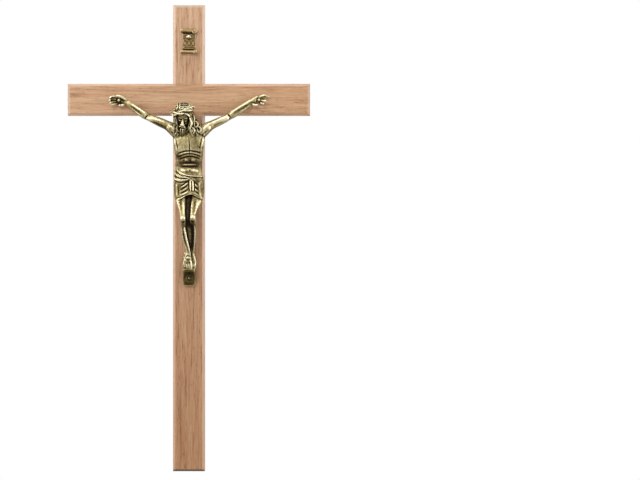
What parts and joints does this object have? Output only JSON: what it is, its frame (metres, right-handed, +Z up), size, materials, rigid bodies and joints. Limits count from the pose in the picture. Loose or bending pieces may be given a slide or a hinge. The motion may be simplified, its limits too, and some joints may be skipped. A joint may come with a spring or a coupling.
{
  "type": "wall crucifix",
  "caption": "Wall crucifix: bevelled wooden cross with a cast metal figure nailed on, a scroll plate above it, a foot rest, and a ring hanger that swings on the back.",
  "frame": {"origin": "centre of the crossing of the two bars, on the cross's back face, against the wall", "axes": "+Z up the upright, +Y out of the back towards the wall, +X to the viewer's right along the crossbar"},
  "size_m": [0.13, 0.0301, 0.25],
  "materials": {
    "beech": "sanded beech under a thin matt lacquer",
    "antique_brass": "cast, antiqued dark and polished back on the high places",
    "nail_brass": "antiqued, with a rubbed head",
    "dark_brass": "antiqued, little polished",
    "plated_steel": "bright zinc plate"
  },
  "bodies": {
    "cross": {"upright": "beech", "crossbar": "beech", "corpus": "antique_brass", "left_hand_nail": "nail_brass", "right_hand_nail": "nail_brass", "foot_nail": "nail_brass", "foot_rest": "dark_brass", "foot_rest_nail": "dark_brass", "title_scroll": "antique_brass", "title_nail": "nail_brass", "hanger_strap": "plated_steel", "hanger_screw": "plated_steel"},
    "ring": {"hanger_ring": "plated_steel"}
  },
  "joints": [
    {"name": "ring_swing", "type": "hinge", "parent": "cross", "child": "ring", "pos_m": [0, 0.0013, 0.036], "axis": [-1, 0, 0], "range_deg": [0, 180]}
  ]
}
